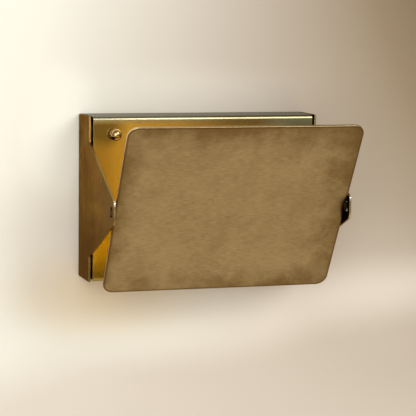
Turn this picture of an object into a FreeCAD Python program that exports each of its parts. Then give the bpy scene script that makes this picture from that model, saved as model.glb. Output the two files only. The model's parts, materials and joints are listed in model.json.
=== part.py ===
import FreeCAD, Part
import math
import os
from FreeCAD import Vector

# Brass wall light with one tilting flap. A folded bracket screws to the wall and carries two
# triangular wings. A folded cover closes the wiring space between its side panels. The flap hangs
# between the wings by a tongue on each side edge and hides a bulb that lies across the light.
# Millimetres. X runs to the right, -Y out from the wall, Z up. The origin is the middle of the
# wall face, halfway between the two wall screws.

# ---- bracket: back plate, side panels and wings, folded from one sheet ----
bracket_sheet = 1.5
body_width = 180.0            # over the outer faces of the side panels
body_height = 124.0
body_depth = 34.5             # wall face to the front of the side panels and of the cover
bracket_bend_radius = 1.2     # inside radius of the two folds
wing_root_height = 86.0       # a wing where it leaves the front of its side panel
wing_tip_height = 15.2
wing_tip_drop = 1.0           # how far a tip's middle lies below the middle of the body
wing_reach = 109.0            # wall face to the wing tips
wing_upper_tip_radius = 1.6
wing_lower_tip_radius = 6.0

# ---- wall fixings and cable inlet, in the back plate ----
wall_screw_spacing = 60.0
wall_slot_width = 4.5
wall_slot_length = 10.0
inlet_hole_radius = 6.0
inlet_bore_radius = 4.5
inlet_flange_radius = 8.0
inlet_flange_thickness = 2.0

# ---- cover: top flange, front and bottom flange, folded from one sheet ----
cover_sheet = 1.5
cover_bend_radius = 1.5       # inside radius
fold_clearance = 0.6          # between the cover's ends and the start of the bracket's folds

# ---- riveted studs and ball nuts that hold the cover ----
stud_radius = 2.0
stud_tail_radius = 1.5        # riveted end in the back plate
stud_collar_radius = 3.5
stud_collar_thickness = 1.5
stud_grip = 6.0               # length of stud that stands out of the cover
stud_hole_gap = 0.2           # radial, in the cover
stud_side_inset = 19.3        # from the outer face of a side panel
stud_end_inset = 13.3         # from the top or bottom of the body
ball_radius = 4.5
ball_neck_radius = 3.1
ball_neck_length = 1.0
ball_end_gap = 0.6            # between the stud's end and the bottom of the nut's hole
snug = 0.03                   # radial gap of threads and of riveted or pressed pieces

# ---- flap, drawn as it leans ----
flap_sheet = 2.0
flap_side_gap = 0.9           # between a side edge of the flap and the wing beside it
flap_height = 145.4
flap_corner_radius = 8.0
flap_drop = 0.4               # how far the flap's middle lies below its tongues
tongue_height = 7.0
tongue_end_gap = 0.3          # how far a tongue stops short of the wing's outer face
tongue_play = 0.1             # left between a tongue and its slot where they come nearest
slot_setback = 7.2            # wing tip to the middle of the slot
lean = 29.7                   # degrees from upright, top outwards
lean_left = 4.3               # degrees more before the tongues meet the slots' edges

# ---- lampholder bracket: a strip folded to an L, foot on the cover ----
lamp_depth = 65.5             # wall face to the lamp's axis
holder_seat_inset = 33.5      # right-hand side panel to the upright's face that the lampholder sits on
strip_thickness = 1.5
strip_width = 22.0
strip_bend_radius = 1.5       # inside radius
foot_length = 22.0
foot_screw_spacing = 12.0
foot_screw_inset = 9.0        # from the foot's free end
foot_screw_radius = 1.5
foot_screw_head_radius = 2.8
foot_screw_head_height = 2.0
foot_screw_slot_width = 0.8
foot_nut_flats = 5.5
foot_nut_thickness = 2.4
screw_past_nut = 0.8
screw_hole_gap = 0.15         # radial

# ---- lampholder ----
nipple_radius = 5.0
nipple_bore_radius = 3.7
nipple_in_cap = 4.0           # from the seat into the cap
nipple_out = 7.5              # from the seat out past the nut
nipple_nut_flats = 14.0
nipple_nut_thickness = 3.0
holder_radius = 12.5
holder_wall = 2.0
cap_length = 18.0
cap_back_thickness = 2.5
shell_length = 26.0
shell_rim_radius = 10.6
shell_taper_length = 16.0
spigot_length = 4.0
spigot_wall = 0.9
insert_thickness = 6.5
insert_gap = 0.1
thread_sleeve_wall = 0.7
thread_sleeve_length = 17.0
contact_rise = 2.5
contact_span = 9.0
contact_thickness = 0.5
contact_width = 4.0
holder_terminal_length = 5.0
holder_terminal_depth = 6.0
holder_terminal_width = 4.5
holder_terminal_z = 4.2       # from the lamp's axis to the middle of a terminal
holder_terminal_grip = 3.0    # length of a lead inside a terminal
holder_terminal_screw_radius = 1.2
holder_terminal_head_radius = 1.9
holder_terminal_head_height = 1.4

# ---- bulb with a small screw cap ----
bulb_length = 78.0
bulb_radius = 22.5
bulb_neck_radius = 6.4
bulb_shoulder_length = 12.0   # from the metal cap to the start of the round part
bulb_glass_wall = 0.8
bulb_cap_radius = 6.95
bulb_cap_length = 17.0
bulb_cap_wall = 0.4
bulb_thread_gap = 0.05        # between the bulb's cap and the holder's thread sleeve
bulb_tip_radius = 2.4
bulb_tip_length = 2.0
bulb_insulator_length = 3.0
bulb_stem_radius = 3.2
bulb_stem_length = 20.0
filament_post_radius = 0.3
filament_post_length = 12.0
filament_span = 16.0
filament_wire_radius = 0.35

# ---- terminal block for the mains cable ----
block_length = 18.0           # along X
block_depth = 14.0            # out from the back plate
block_height = 27.0
block_z = -34.0
block_edge_radius = 1.0
pole_count = 3
pole_pitch = 9.0
pole_radius = 2.6
pole_inset = 1.0              # a metal tube's end, inside the block's face
pole_screw_spacing = 9.0
pole_screw_radius = 1.2
pole_screw_head_radius = 1.9
pole_screw_head_height = 2.0
block_screw_radius = 1.25
block_screw_head_radius = 2.3
block_screw_head_height = 1.8
screw_slot_depth = 0.7

# ---- earth terminal on the back plate ----
earth_x = 34.0
earth_stud_length = 11.0      # from the wall face
lug_thickness = 0.8
lug_ring_radius = 4.2
lug_neck_width = 3.0
lug_barrel_radius = 1.9
lug_barrel_length = 6.0
lug_barrel_start = 5.0        # stud's axis to the near end of the barrel
earth_washer_radius = 4.4
earth_washer_thickness = 0.8
earth_nut_flats = 7.0
earth_nut_thickness = 3.2

# ---- inner leads ----
lead_radius = 1.1
lead_pair_spacing = 3.6       # between the two leads where they run side by side
lead_gap = 0.05               # radial, in terminals and lugs
lead_run_depth = 16.0         # wall face to the leads behind the cover
lead_exit_inset = 12.0        # right-hand side panel to the leads' hole in the cover
lead_bush_bore_radius = 3.3
lead_bush_radius = 4.3
lead_bush_flange_radius = 5.6
lead_bush_flange_thickness = 1.4
lead_bush_tail = 1.0          # bush behind the cover

# ---- what follows from them ----
cover_side_gap = bracket_bend_radius + fold_clearance
inside_width = body_width - 2 * bracket_sheet
cover_width = inside_width - 2 * cover_side_gap
stud_x = body_width / 2 - stud_side_inset
stud_z = body_height / 2 - stud_end_inset
stud_places = [(x, z) for x in (-stud_x, stud_x) for z in (-stud_z, stud_z)]

pivot_depth = wing_reach - slot_setback
pivot_z = -wing_tip_drop
flap_width = inside_width - 2 * flap_side_gap
full_lean = math.radians(lean + lean_left)
half_tongue = Vector(0, flap_sheet / 2, tongue_height / 2)
slot_width = 2 * (half_tongue.z * math.sin(full_lean) + half_tongue.y * math.cos(full_lean) + tongue_play)
slot_height = 2 * (half_tongue.Length + tongue_play)

holder_seat_x = body_width / 2 - holder_seat_inset
lead_exit_x = body_width / 2 - lead_exit_inset
lamp_axis = Vector(0, -lamp_depth, 0)
along_lamp = Vector(-1, 0, 0)
strip_outer_x = holder_seat_x + strip_thickness
foot_end_x = strip_outer_x - foot_length
foot_screw_x = foot_end_x + foot_screw_inset
foot_screw_places = [(foot_screw_x, z) for z in (-foot_screw_spacing / 2, foot_screw_spacing / 2)]
holder_bore = holder_radius - holder_wall
cap_front_x = holder_seat_x - cap_length
insert_back_x = cap_front_x + spigot_length
insert_front_x = insert_back_x - insert_thickness
shell_front_x = cap_front_x - shell_length
contact_x = insert_front_x - contact_rise
bulb_cap_back_x = contact_x - bulb_tip_length - bulb_insulator_length
bulb_cap_front_x = bulb_cap_back_x - bulb_cap_length
thread_sleeve_bore = bulb_cap_radius + bulb_thread_gap

plate_front = -bracket_sheet
cover_front = -body_depth
cover_back = cover_front + cover_sheet
pole_y = plate_front - block_depth / 2
pole_z = [block_z + pole_pitch * (i - (pole_count - 1) / 2) for i in range(pole_count)]
earth_z, neutral_z, live_z = pole_z
pole_bore = lead_radius + lead_gap
earth_seat_y = plate_front - stud_collar_thickness
lug_axis_y = min(earth_seat_y - lug_thickness / 2, plate_front - lug_barrel_radius)


def block(x0, x1, y0, y1, z0, z1):
    """A box between two corners."""
    return Part.makeBox(x1 - x0, y1 - y0, z1 - z0, Vector(x0, y0, z0))


def rod(start, direction, length, radius):
    """A round bar from a point along a direction."""
    return Part.makeCylinder(radius, length, start, direction)


def ring(start, direction, length, radius, bore):
    """A tube from a point along a direction."""
    return rod(start, direction, length, radius).cut(rod(start, direction, length, bore))


def out_rod(x, z, y_back, y_front, radius):
    """A round bar square to the wall, from y_back out to y_front."""
    return rod(Vector(x, y_back, z), Vector(0, -1, 0), y_back - y_front, radius)


def lamp_turned(profile):
    """Turn a profile of (distance left from the holder's seat, radius) about the lamp's axis."""
    points = [Vector(holder_seat_x - s, -lamp_depth, r) for s, r in profile]
    face = Part.Face(Part.makePolygon(points + points[:1]))
    return face.revolve(lamp_axis, Vector(1, 0, 0), 360)


def hex_prism(x, y_back, y_front, z, flats, bore):
    """A hexagon nut square to the wall."""
    corner = flats / math.sqrt(3)
    turns = [math.radians(60 * i + 30) for i in range(7)]
    outline = [Vector(x + corner * math.cos(a), y_back, z + corner * math.sin(a)) for a in turns]
    body = Part.Face(Part.makePolygon(outline)).extrude(Vector(0, y_front - y_back, 0))
    return body.cut(out_rod(x, z, y_back, y_front, bore))


def slotted_head(x, z, y_seat, height, radius, slot_width):
    """A flat screw head with a driver slot, its underside at y_seat."""
    head = out_rod(x, z, y_seat, y_seat - height, radius)
    rim = [e for e in head.Edges if e.Vertexes and abs(e.BoundBox.YMin - (y_seat - height)) < 1e-6
           and e.BoundBox.YLength < 1e-6]
    head = head.makeFillet(min(height, radius) / 4, rim)
    y_top = y_seat - height
    slot = block(x - slot_width / 2, x + slot_width / 2, y_top, y_top + screw_slot_depth,
                 z - radius, z + radius)
    return head.cut(slot)


def edges_where(shape, test):
    """The straight edges of a shape whose middle point passes a test."""
    straight = [e for e in shape.Edges if isinstance(e.Curve, Part.Line)]
    return [e for e in straight if test(e, e.CenterOfMass)]


def runs_along(edge, axis):
    """Whether a straight edge runs along one of the axes x, y, z."""
    span = edge.BoundBox
    lengths = {"x": span.XLength, "y": span.YLength, "z": span.ZLength}
    return all((length > 1e-6) == (name == axis) for name, length in lengths.items())


def near(a, b):
    return abs(a - b) < 1e-4


def lead_tube(points, radius):
    """A round lead along a route of straight runs joined by tangent arcs."""
    edges = []
    last = points[0]
    for before, corner, after in zip(points, points[1:], points[2:]):
        back, ahead = before - corner, after - corner
        cut = 0.45 * min(back.Length, ahead.Length)
        back.normalize()
        ahead.normalize()
        start, end = corner + back * cut, corner + ahead * cut
        half = back.getAngle(ahead) / 2
        bisector = (back + ahead).normalize()
        middle = corner + bisector * (cut / math.cos(half) - cut * math.tan(half))
        edges.append(Part.makeLine(last, start))
        edges.append(Part.Arc(start, middle, end).toShape())
        last = end
    edges.append(Part.makeLine(last, points[-1]))
    route = Part.Wire(edges)
    section = Part.Wire([Part.makeCircle(radius, points[0], points[1] - points[0])])
    return route.makePipeShell([section], True, False)


def joined(solids):
    """Separate solids of one kind, kept apart in one shape."""
    return solids[0] if len(solids) == 1 else Part.makeCompound(solids)


# ---------------- bracket ----------------

def side_profile():
    """The outline of a side panel with its wing, cut right through the width."""
    half = body_height / 2
    root = wing_root_height / 2
    tip_top, tip_foot = wing_tip_height / 2 - wing_tip_drop, -wing_tip_height / 2 - wing_tip_drop
    outline = [(0, half), (-body_depth, half), (-body_depth, root), (-wing_reach, tip_top),
               (-wing_reach, tip_foot), (-body_depth, -root), (-body_depth, -half), (0, -half)]
    points = [Vector(-body_width / 2, y, z) for y, z in outline]
    prism = Part.Face(Part.makePolygon(points + points[:1])).extrude(Vector(body_width, 0, 0))
    upper = edges_where(prism, lambda e, c: near(c.y, -wing_reach) and near(c.z, tip_top))
    prism = prism.makeFillet(wing_upper_tip_radius, upper)
    lower = edges_where(prism, lambda e, c: near(c.y, -wing_reach) and near(c.z, tip_foot))
    return prism.makeFillet(wing_lower_tip_radius, lower)


def wing_bracket():
    half_width, half_height = body_width / 2, body_height / 2
    inner = inside_width / 2
    channel = block(-half_width, half_width, -wing_reach, 0, -half_height, half_height)
    channel = channel.cut(block(-inner, inner, -wing_reach, plate_front, -half_height, half_height))
    outer_folds = edges_where(channel, lambda e, c: runs_along(e, "z") and near(abs(c.x), half_width)
                              and near(c.y, 0))
    channel = channel.makeFillet(bracket_bend_radius + bracket_sheet, outer_folds)
    inner_folds = edges_where(channel, lambda e, c: runs_along(e, "z") and near(abs(c.x), inner)
                              and near(c.y, plate_front))
    channel = channel.makeFillet(bracket_bend_radius, inner_folds)
    bracket = channel.common(side_profile())

    cuts = [block(-half_width, half_width, -pivot_depth - slot_width / 2, -pivot_depth + slot_width / 2,
                  pivot_z - slot_height / 2, pivot_z + slot_height / 2)]
    for side in (-1, 1):
        cuts.append(wall_slot(side * wall_screw_spacing / 2))
    cuts.append(out_rod(0, 0, 0, plate_front, inlet_hole_radius))
    for x, z in stud_places:
        cuts.append(out_rod(x, z, 0, plate_front, stud_tail_radius + snug))
    cuts.append(out_rod(earth_x, earth_z, 0, plate_front, stud_tail_radius + snug))
    cuts.append(out_rod(0, block_screw_z(), 0, plate_front, block_screw_radius + snug))
    for cut in cuts:
        bracket = bracket.cut(cut)
    return bracket


def wall_slot(x):
    """A round-ended slot for a wall screw, long side along X."""
    radius = wall_slot_width / 2
    reach = wall_slot_length / 2 - radius
    slot = block(x - reach, x + reach, plate_front, 0, -radius, radius)
    for end in (-reach, reach):
        slot = slot.fuse(out_rod(x + end, 0, 0, plate_front, radius))
    return slot


def inlet_bush():
    """Bush pressed into the back plate from the front, flush with the wall face."""
    sleeve = out_rod(0, 0, 0, plate_front, inlet_hole_radius - snug)
    flange = out_rod(0, 0, plate_front, plate_front - inlet_flange_thickness, inlet_flange_radius)
    bore = out_rod(0, 0, 0, plate_front - inlet_flange_thickness, inlet_bore_radius)
    return sleeve.fuse(flange).cut(bore).removeSplitter()


# ---------------- cover and its fixings ----------------

def cover():
    half_width, half_height = cover_width / 2, body_height / 2
    shell = block(-half_width, half_width, cover_front, plate_front, -half_height, half_height)
    shell = shell.cut(block(-half_width, half_width, cover_back, plate_front,
                            -half_height + cover_sheet, half_height - cover_sheet))
    outer = edges_where(shell, lambda e, c: runs_along(e, "x") and near(c.y, cover_front))
    shell = shell.makeFillet(cover_bend_radius + cover_sheet, outer)
    inner = edges_where(shell, lambda e, c: runs_along(e, "x") and near(c.y, cover_back))
    shell = shell.makeFillet(cover_bend_radius, inner)
    for x, z in stud_places:
        shell = shell.cut(out_rod(x, z, cover_back, cover_front, stud_radius + stud_hole_gap))
    for x, z in foot_screw_places:
        shell = shell.cut(out_rod(x, z, cover_back, cover_front, foot_screw_radius + screw_hole_gap))
    return shell.cut(out_rod(lead_exit_x, 0, cover_back, cover_front, lead_bush_radius))


def riveted_stud(x, z, y_end):
    """A stud whose tail is riveted flush into the back plate, with a collar inside."""
    tail = out_rod(x, z, 0, plate_front, stud_tail_radius)
    collar = out_rod(x, z, plate_front, plate_front - stud_collar_thickness, stud_collar_radius)
    shank = out_rod(x, z, plate_front - stud_collar_thickness, y_end, stud_radius)
    return tail.fuse([collar, shank]).removeSplitter()


def cover_studs():
    return joined([riveted_stud(x, z, cover_front - stud_grip) for x, z in stud_places])


def ball_nut(x, z):
    """A ball on a short neck, with a blind threaded hole for the stud, turned about the stud."""
    sink = math.sqrt(ball_radius ** 2 - ball_neck_radius ** 2)
    centre = ball_neck_length + sink
    hole, depth = stud_radius + snug, stud_grip + ball_end_gap

    def at(radius, distance):
        return Vector(x + radius, cover_front - distance, z)
    neck_top, crown = at(ball_neck_radius, ball_neck_length), at(0, centre + ball_radius)
    lines = [at(0, depth), at(hole, depth), at(hole, 0), at(ball_neck_radius, 0), neck_top]
    edges = [Part.makeLine(a, b) for a, b in zip(lines, lines[1:])]
    edges.append(Part.Arc(neck_top, at(ball_radius, centre), crown).toShape())
    edges.append(Part.makeLine(crown, lines[0]))
    return Part.Face(Part.Wire(edges)).revolve(Vector(x, 0, z), Vector(0, 1, 0), 360)


def ball_nuts():
    return joined([ball_nut(x, z) for x, z in stud_places])


# ---------------- flap ----------------

def flap():
    """The plate upright with its tongues on the pivot, then leaned about the pivot."""
    half_width, half_sheet = flap_width / 2, flap_sheet / 2
    middle = -flap_drop
    plate = block(-half_width, half_width, -half_sheet, half_sheet,
                  middle - flap_height / 2, middle + flap_height / 2)
    corners = edges_where(plate, lambda e, c: runs_along(e, "y"))
    plate = plate.makeFillet(flap_corner_radius, corners)
    tongue_end = body_width / 2 - tongue_end_gap
    tongues = block(-tongue_end, tongue_end, -half_sheet, half_sheet, -tongue_height / 2, tongue_height / 2)
    plate = plate.fuse(tongues).removeSplitter()
    plate.rotate(Vector(0, 0, 0), Vector(1, 0, 0), lean)
    plate.translate(Vector(0, -pivot_depth, pivot_z))
    return plate


# ---------------- lampholder bracket ----------------

def lampholder_bracket():
    half = strip_width / 2
    tall = block(foot_end_x, strip_outer_x, -lamp_depth, cover_front, -half, half)
    tall = tall.cut(block(foot_end_x, holder_seat_x, -lamp_depth, cover_front - strip_thickness, -half, half))
    inner = edges_where(tall, lambda e, c: runs_along(e, "z") and near(c.x, holder_seat_x)
                        and near(c.y, cover_front - strip_thickness))
    tall = tall.makeFillet(strip_bend_radius, inner)
    outer = edges_where(tall, lambda e, c: runs_along(e, "z") and near(c.x, strip_outer_x)
                        and near(c.y, cover_front))
    tall = tall.makeFillet(strip_bend_radius + strip_thickness, outer)
    round_end = rod(Vector(holder_seat_x, -lamp_depth, 0), Vector(1, 0, 0), strip_thickness, half)
    strip = tall.fuse(round_end).removeSplitter()
    strip = strip.cut(rod(Vector(holder_seat_x, -lamp_depth, 0), Vector(1, 0, 0), strip_thickness,
                          nipple_radius + screw_hole_gap))
    for x, z in foot_screw_places:
        strip = strip.cut(out_rod(x, z, cover_front, cover_front - strip_thickness,
                                  foot_screw_radius + screw_hole_gap))
    return strip


def bracket_screws():
    seat = cover_front - strip_thickness
    end = cover_back + foot_nut_thickness + screw_past_nut
    screws = []
    for x, z in foot_screw_places:
        head = slotted_head(x, z, seat, foot_screw_head_height, foot_screw_head_radius, foot_screw_slot_width)
        screws.append(head.fuse(out_rod(x, z, end, seat, foot_screw_radius)).removeSplitter())
    return joined(screws)


def bracket_nuts():
    return joined([hex_prism(x, cover_back + foot_nut_thickness, cover_back, z, foot_nut_flats,
                             foot_screw_radius + snug) for x, z in foot_screw_places])


# ---------------- lampholder ----------------

def threaded_nipple():
    start = Vector(holder_seat_x - nipple_in_cap, -lamp_depth, 0)
    return ring(start, Vector(1, 0, 0), nipple_in_cap + nipple_out, nipple_radius, nipple_bore_radius)


def nipple_nut():
    corner = nipple_nut_flats / math.sqrt(3)
    turns = [math.radians(60 * i) for i in range(7)]
    outline = [Vector(strip_outer_x, -lamp_depth + corner * math.cos(a), corner * math.sin(a)) for a in turns]
    body = Part.Face(Part.makePolygon(outline)).extrude(Vector(nipple_nut_thickness, 0, 0))
    return body.cut(rod(Vector(strip_outer_x, -lamp_depth, 0), Vector(1, 0, 0), nipple_nut_thickness,
                        nipple_radius + snug))


def holder_cap():
    """Back half of the lampholder: a cup with the nipple's hole in its bottom."""
    edge = holder_wall
    step = cap_length - spigot_length
    return lamp_turned([(0, nipple_radius + snug), (0, holder_radius - edge), (edge, holder_radius),
                        (cap_length, holder_radius), (cap_length, holder_bore + spigot_wall + snug),
                        (step, holder_bore + spigot_wall + snug), (step, holder_bore - spigot_wall),
                        (cap_back_thickness, holder_bore - spigot_wall),
                        (cap_back_thickness, nipple_radius + snug)])


def holder_shell():
    """Front half of the lampholder: a sleeve with a spigot that screws into the cap."""
    back = cap_length - spigot_length
    front = cap_length + shell_length
    seat = back + insert_thickness
    neck = shell_rim_radius - holder_wall
    return lamp_turned([(back, holder_bore), (back, holder_bore + spigot_wall),
                        (cap_length, holder_bore + spigot_wall), (cap_length, holder_radius),
                        (front - shell_taper_length, holder_radius), (front, shell_rim_radius),
                        (front, neck), (seat, neck), (seat, holder_bore)])


def terminal_places():
    return [-holder_terminal_z, holder_terminal_z]


def holder_insert():
    """Ceramic disc clamped between the cap and the shell."""
    start = Vector(insert_front_x, -lamp_depth, 0)
    return rod(start, Vector(1, 0, 0), insert_thickness, holder_bore - insert_gap)


def holder_terminals():
    terminals = []
    back = insert_back_x + holder_terminal_length
    for z in terminal_places():
        body = block(insert_back_x, back, -lamp_depth - holder_terminal_depth / 2,
                     -lamp_depth + holder_terminal_depth / 2, z - holder_terminal_width / 2,
                     z + holder_terminal_width / 2)
        bore = rod(Vector(back, -lamp_depth, z), along_lamp, holder_terminal_grip, lead_radius + lead_gap)
        screw_hole = out_rod(back - holder_terminal_length / 2, z, -lamp_depth - lead_radius,
                             -lamp_depth - holder_terminal_depth / 2, holder_terminal_screw_radius + snug)
        terminals.append(body.cut(bore).cut(screw_hole))
    return joined(terminals)


def holder_terminal_screws():
    x = insert_back_x + holder_terminal_length / 2
    seat = -lamp_depth - holder_terminal_depth / 2
    screws = []
    for z in terminal_places():
        head = out_rod(x, z, seat, seat - holder_terminal_head_height, holder_terminal_head_radius)
        shank = out_rod(x, z, -lamp_depth - lead_radius - lead_gap, seat, holder_terminal_screw_radius)
        screws.append(head.fuse(shank).removeSplitter())
    return joined(screws)


def thread_sleeve():
    start = Vector(insert_front_x, -lamp_depth, 0)
    return ring(start, along_lamp, thread_sleeve_length, thread_sleeve_bore + thread_sleeve_wall,
                thread_sleeve_bore)


def centre_contact():
    """An arched strip, both ends on the insert and its crown on the bulb's tip."""
    def arch(rise, span):
        ends = [Vector(insert_front_x, -lamp_depth + s * span / 2, 0) for s in (-1, 1)]
        crown = Vector(insert_front_x - rise, -lamp_depth, 0)
        return ends, Part.Arc(ends[0], crown, ends[1]).toShape()
    outer_ends, outer = arch(contact_rise, contact_span)
    inner_ends, inner = arch(contact_rise - contact_thickness, contact_span - 2 * contact_thickness)
    feet = [Part.makeLine(a, b) for a, b in zip(outer_ends, inner_ends)]
    face = Part.Face(Part.Wire(Part.sortEdges([outer, inner] + feet)[0]))
    strip = face.extrude(Vector(0, 0, contact_width))
    strip.translate(Vector(0, 0, -contact_width / 2))
    return strip


# ---------------- bulb ----------------

def bulb_glass():
    """A round bulb blown from one tube: a neck, a hollow shoulder curve and a ball."""
    def half_section(radius, neck, reach):
        neck_end = Vector(bulb_cap_front_x + bulb_cap_wall, 0, neck)
        centre_x = contact_x - bulb_length + bulb_radius
        shoulder = math.radians(52)
        meet = Vector(centre_x + radius * math.cos(shoulder), 0, radius * math.sin(shoulder))
        along = Vector(math.sin(shoulder), 0, -math.cos(shoulder))
        curve = Part.BezierCurve()
        curve.setPoles([neck_end, neck_end + Vector(-reach, 0, 0), meet + along * reach, meet])
        side = Vector(centre_x + radius * math.cos(math.radians(115)), 0, radius * math.sin(math.radians(115)))
        tip = Vector(centre_x - radius, 0, 0)
        return neck_end, curve.toShape(), Part.Arc(meet, side, tip).toShape(), tip
    inner_radius, inner_neck = bulb_radius - bulb_glass_wall, bulb_neck_radius - bulb_glass_wall
    start, neck_curve, ball, tip = half_section(bulb_radius, bulb_neck_radius, bulb_shoulder_length / 2)
    start_in, neck_in, ball_in, tip_in = half_section(inner_radius, inner_neck, bulb_shoulder_length / 2)
    edges = [neck_curve, ball, Part.makeLine(tip, tip_in), ball_in, neck_in, Part.makeLine(start_in, start)]
    face = Part.Face(Part.Wire(Part.sortEdges(edges)[0]))
    glass = face.revolve(Vector(0, 0, 0), Vector(1, 0, 0), 360)
    glass.translate(lamp_axis)
    return glass


def bulb_cap():
    """Thin threaded metal cup, closed towards the contact round the insulator."""
    back, front = holder_seat_x - bulb_cap_back_x, holder_seat_x - bulb_cap_front_x
    inner = bulb_cap_radius - bulb_cap_wall
    return lamp_turned([(back, bulb_tip_radius), (back, bulb_cap_radius), (front, bulb_cap_radius),
                        (front, inner), (back + bulb_cap_wall, inner), (back + bulb_cap_wall, bulb_tip_radius)])


def bulb_insulator():
    back = holder_seat_x - bulb_cap_back_x
    return lamp_turned([(back - bulb_insulator_length, 0), (back - bulb_insulator_length, bulb_tip_radius),
                        (back, bulb_cap_radius - bulb_cap_wall), (back, 0)])


def bulb_tip():
    start = Vector(contact_x - bulb_tip_length, -lamp_depth, 0)
    button = rod(start, Vector(1, 0, 0), bulb_tip_length, bulb_tip_radius)
    rim = [e for e in button.Edges if e.BoundBox.XLength < 1e-6 and near(e.BoundBox.XMin, contact_x)]
    return button.makeFillet(bulb_tip_length / 2, rim)


def stem_end_x():
    return bulb_cap_front_x + bulb_cap_wall - bulb_stem_length


def bulb_stem():
    """Glass foot that closes the neck and carries the filament's posts."""
    base = holder_seat_x - bulb_cap_front_x - bulb_cap_wall
    return lamp_turned([(base, 0), (base, bulb_neck_radius - bulb_glass_wall - snug),
                        (base + bulb_cap_wall, bulb_neck_radius - bulb_glass_wall - snug),
                        (base + bulb_stem_length / 3, bulb_stem_radius),
                        (base + bulb_stem_length, bulb_stem_radius * 0.7), (base + bulb_stem_length, 0)])


def filament():
    """Two posts out of the stem with the filament wire between them."""
    start = stem_end_x() - filament_post_radius
    end = start - filament_post_length
    root = bulb_stem_radius * 0.4
    wires = []
    for side in (-1, 1):
        foot = Vector(start, -lamp_depth, side * root)
        head = Vector(end, -lamp_depth, side * filament_span / 2)
        wires.append(rod(foot, head - foot, (head - foot).Length, filament_post_radius))
        wires.append(Part.makeSphere(filament_wire_radius, head))
    low = Vector(end, -lamp_depth, -filament_span / 2)
    high = Vector(end, -lamp_depth, filament_span / 2)
    crown = Vector(end - filament_span / 4, -lamp_depth, 0)
    arc = Part.Wire([Part.Arc(low, crown, high).toShape()])
    tangent = arc.Edges[0].tangentAt(arc.Edges[0].FirstParameter)
    section = Part.Wire([Part.makeCircle(filament_wire_radius, low, tangent)])
    wires.append(arc.makePipeShell([section], True, False))
    return wires[0].fuse(wires[1:])


# ---------------- terminal block ----------------

def block_screw_z():
    return (neutral_z + live_z) / 2


def pole_screw_places():
    return [(x, z) for x in (-pole_screw_spacing / 2, pole_screw_spacing / 2) for z in pole_z]


def terminal_block():
    front = plate_front - block_depth
    body = block(-block_length / 2, block_length / 2, front, plate_front,
                 block_z - block_height / 2, block_z + block_height / 2)
    edges = edges_where(body, lambda e, c: near(c.y, front) or runs_along(e, "y"))
    body = body.makeFillet(block_edge_radius, edges)
    for z in pole_z:
        body = body.cut(rod(Vector(-block_length / 2, pole_y, z), Vector(1, 0, 0), block_length, pole_radius))
    for x, z in pole_screw_places():
        body = body.cut(out_rod(x, z, pole_y, front, pole_screw_head_radius + screw_hole_gap))
    head_room = block_screw_head_height
    body = body.cut(out_rod(0, block_screw_z(), front + head_room, front,
                            block_screw_head_radius + screw_hole_gap))
    return body.cut(out_rod(0, block_screw_z(), plate_front, front, block_screw_radius + screw_hole_gap))


def terminal_tubes():
    tubes = []
    length = block_length - 2 * pole_inset
    for z in pole_z:
        tube = ring(Vector(-length / 2, pole_y, z), Vector(1, 0, 0), length, pole_radius, pole_bore)
        for x, screw_z in pole_screw_places():
            if near(screw_z, z):
                tube = tube.cut(out_rod(x, z, pole_y, pole_y - pole_radius, pole_screw_radius + snug))
        tubes.append(tube)
    return joined(tubes)


def terminal_screws():
    seat = pole_y - pole_radius - snug
    screws = []
    for x, z in pole_screw_places():
        head = slotted_head(x, z, seat, pole_screw_head_height, pole_screw_head_radius, foot_screw_slot_width)
        shank = out_rod(x, z, pole_y - lead_radius - lead_gap, seat, pole_screw_radius)
        screws.append(head.fuse(shank).removeSplitter())
    return joined(screws)


def block_screw():
    seat = plate_front - block_depth + block_screw_head_height
    head = slotted_head(0, block_screw_z(), seat, block_screw_head_height, block_screw_head_radius,
                        foot_screw_slot_width)
    return head.fuse(out_rod(0, block_screw_z(), 0, seat, block_screw_radius)).removeSplitter()


# ---------------- earth terminal ----------------

def earth_stud():
    return riveted_stud(earth_x, earth_z, -earth_stud_length)


def earth_lug():
    """Ring tongue on the stud's collar, with a crimped barrel towards the terminal block."""
    seat = earth_seat_y
    front = seat - lug_thickness
    plate = out_rod(earth_x, earth_z, seat, front, lug_ring_radius)
    neck_end = earth_x - lug_barrel_start - lug_thickness
    plate = plate.fuse(block(neck_end, earth_x, front, seat, earth_z - lug_neck_width / 2,
                             earth_z + lug_neck_width / 2))
    barrel_start = Vector(earth_x - lug_barrel_start, lug_axis_y, earth_z)
    barrel = rod(barrel_start, Vector(-1, 0, 0), lug_barrel_length, lug_barrel_radius)
    bore_start = barrel_start + Vector(-lug_thickness, 0, 0)
    bore = rod(bore_start, Vector(-1, 0, 0), lug_barrel_length, lead_radius + lead_gap)
    hole = out_rod(earth_x, earth_z, seat, front, stud_radius + snug)
    return plate.fuse(barrel).cut(bore).cut(hole).removeSplitter()


def earth_washer():
    back = earth_seat_y - lug_thickness
    washer = out_rod(earth_x, earth_z, back, back - earth_washer_thickness, earth_washer_radius)
    return washer.cut(out_rod(earth_x, earth_z, back, back - earth_washer_thickness, stud_radius + snug))


def earth_nut():
    back = earth_seat_y - lug_thickness - earth_washer_thickness
    return hex_prism(earth_x, back, back - earth_nut_thickness, earth_z, earth_nut_flats, stud_radius + snug)


# ---------------- inner leads ----------------

def lead_bush():
    """Bush that lines the leads' hole in the cover, flange to the front."""
    sleeve = out_rod(lead_exit_x, 0, cover_back + lead_bush_tail, cover_front, lead_bush_radius - snug)
    front = cover_front - lead_bush_flange_thickness
    flange = out_rod(lead_exit_x, 0, cover_front, front, lead_bush_flange_radius)
    bore = out_rod(lead_exit_x, 0, cover_back + lead_bush_tail, front, lead_bush_bore_radius)
    return sleeve.fuse(flange).cut(bore).removeSplitter()


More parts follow.
